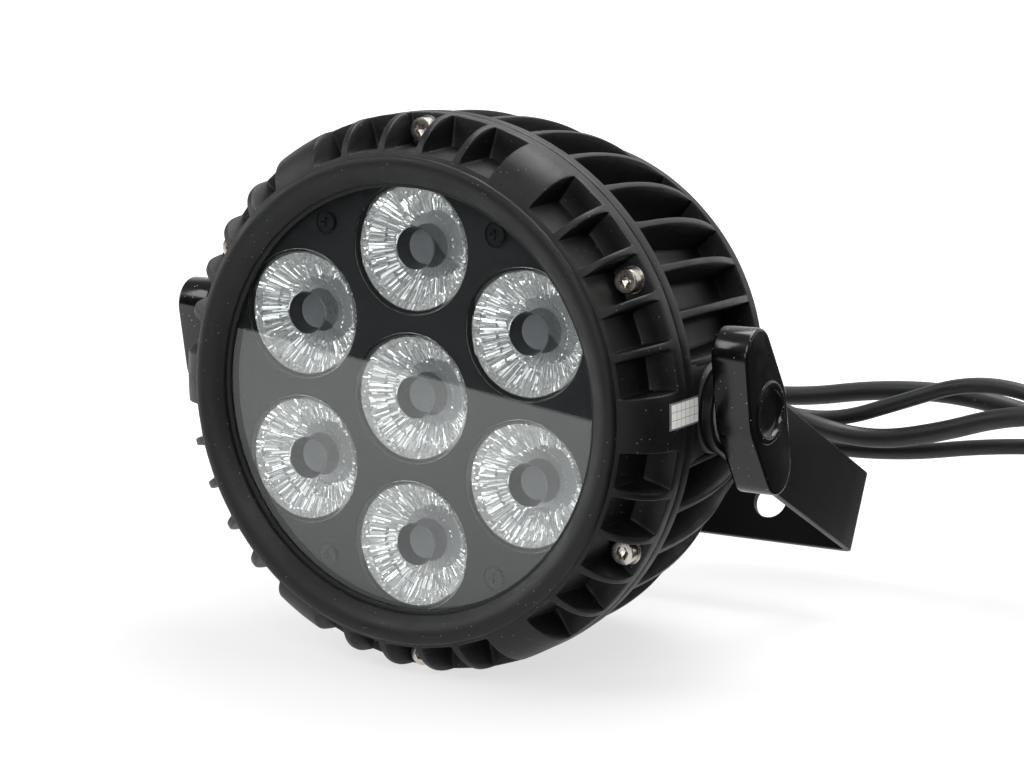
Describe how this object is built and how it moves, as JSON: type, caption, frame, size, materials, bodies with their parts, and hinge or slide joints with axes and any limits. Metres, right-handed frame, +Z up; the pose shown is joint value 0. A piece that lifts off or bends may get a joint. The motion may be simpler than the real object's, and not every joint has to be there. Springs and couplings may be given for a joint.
{
  "type": "par can light",
  "caption": "Round LED stage light with a finned black housing, faceted lenses behind glass, a tilting yoke with clamp knobs and cable tails with in-line connectors.",
  "frame": {"origin": "on the surface that the lamp stands on, under the middle of the lamp and its yoke, cable tails left out", "axes": "+Z up; +Y from the front glass towards the rear cover; +X to the right seen from the front of the lamp, along the yoke's pivot"},
  "size_m": [0.4872, 0.2573, 0.192],
  "materials": {
    "housing_casting": "textured black powder coat on die-cast aluminium",
    "yoke_coat": "satin black powder coat on bent steel strip",
    "knob_plastic": "gloss",
    "knob_stud_steel": "plated",
    "window_glass": "clear, polished",
    "lens_acrylic": "clear moulded acrylic with a faceted face",
    "panel_black": "matte black",
    "seal_rubber": "matte",
    "holder_plastic": "moulded",
    "stainless": "stainless",
    "black_screw": "blackened steel",
    "plain_steel": "zinc plated",
    "insert_brass": "turned",
    "led_board_white": "white solder mask",
    "led_package": "moulded package",
    "circuit_board": "solder mask",
    "component": "moulded",
    "display": "smoked acrylic",
    "button_plastic": "moulded",
    "gland_nylon": "moulded nylon",
    "cable_rubber": "extruded, satin",
    "connector_body": "moulded",
    "label_film": "printed film"
  },
  "bodies": {
    "head": {"front_ring": "housing_casting", "window_seal": "seal_rubber", "window_glass": "window_glass", "glass_cushion": "seal_rubber", "lens_panel": "panel_black", "panel_screws": "black_screw", "lens_1": "lens_acrylic", "lens_2": "lens_acrylic", "lens_3": "lens_acrylic", "lens_4": "lens_acrylic", "lens_5": "lens_acrylic", "lens_6": "lens_acrylic", "lens_7": "lens_acrylic", "lens_holders": "holder_plastic", "panel_standoffs": "plain_steel", "led_board": "led_board_white", "board_screws": "plain_steel", "led_emitters": "led_package", "joint_gasket": "seal_rubber", "rim_screws": "stainless", "rim_washers": "stainless", "rear_housing": "housing_casting", "pivot_inserts": "insert_brass", "cover_gasket": "seal_rubber", "rear_cover": "housing_casting", "display_window": "display", "cover_screws": "stainless", "breather_vent": "gland_nylon", "driver_board": "circuit_board", "driver_parts": "component", "control_board": "circuit_board", "board_posts": "plain_steel", "control_parts": "component", "power_in_gland": "gland_nylon", "data_out_gland": "gland_nylon", "data_in_gland": "gland_nylon", "power_out_gland": "gland_nylon", "gland_locknuts": "gland_nylon", "right_washers": "plain_steel", "left_washers": "plain_steel", "power_in_cable": "cable_rubber", "data_out_cable": "cable_rubber", "data_in_cable": "cable_rubber", "power_out_cable": "cable_rubber", "power_in_plug": "connector_body", "data_out_plug": "connector_body", "data_in_plug": "connector_body", "power_out_plug": "connector_body", "check_sticker": "label_film"},
    "yoke": {"yoke": "yoke_coat"},
    "right_knob": {"right_knob": "knob_plastic", "right_stud": "knob_stud_steel"},
    "left_knob": {"left_knob": "knob_plastic", "left_stud": "knob_stud_steel"},
    "menu_button": {"menu_button": "button_plastic"},
    "down_button": {"down_button": "button_plastic"},
    "up_button": {"up_button": "button_plastic"},
    "enter_button": {"enter_button": "button_plastic"},
    "power_in_coupling_nut": {"power_in_coupling_nut": "connector_body"},
    "data_in_coupling_nut": {"data_in_coupling_nut": "connector_body"}
  },
  "joints": [
    {"name": "yoke_tilt", "type": "hinge", "parent": "head", "child": "yoke", "pos_m": [0, -0.03384, 0.096], "axis": [-1, 0, 0], "range_deg": [-5, 315]},
    {"name": "right_knob_turn", "type": "hinge", "parent": "head", "child": "right_knob", "pos_m": [0.108, -0.03384, 0.096], "axis": [1, 0, 0], "range_deg": [0, 540]},
    {"name": "left_knob_turn", "type": "hinge", "parent": "head", "child": "left_knob", "pos_m": [-0.108, -0.03384, 0.096], "axis": [-1, 0, 0], "range_deg": [0, 540]},
    {"name": "menu_press", "type": "slide", "parent": "head", "child": "menu_button", "axis": [0, -1, 0], "range_m": [0, 0.0008], "stiffness_N_per_m": 800},
    {"name": "down_press", "type": "slide", "parent": "head", "child": "down_button", "axis": [0, -1, 0], "range_m": [0, 0.0008], "stiffness_N_per_m": 800},
    {"name": "up_press", "type": "slide", "parent": "head", "child": "up_button", "axis": [0, -1, 0], "range_m": [0, 0.0008], "stiffness_N_per_m": 800},
    {"name": "enter_press", "type": "slide", "parent": "head", "child": "enter_button", "axis": [0, -1, 0], "range_m": [0, 0.0008], "stiffness_N_per_m": 800},
    {"name": "power_in_nut_turn", "type": "hinge", "parent": "head", "child": "power_in_coupling_nut", "pos_m": [0.309, 0.15596, 0.01], "axis": [0.9918, 0.128, 0], "continuous": true},
    {"name": "data_in_nut_turn", "type": "hinge", "parent": "head", "child": "data_in_coupling_nut", "pos_m": [0.303, 0.10296, 0.01], "axis": [0.9993, -0.037, 0], "continuous": true}
  ]
}
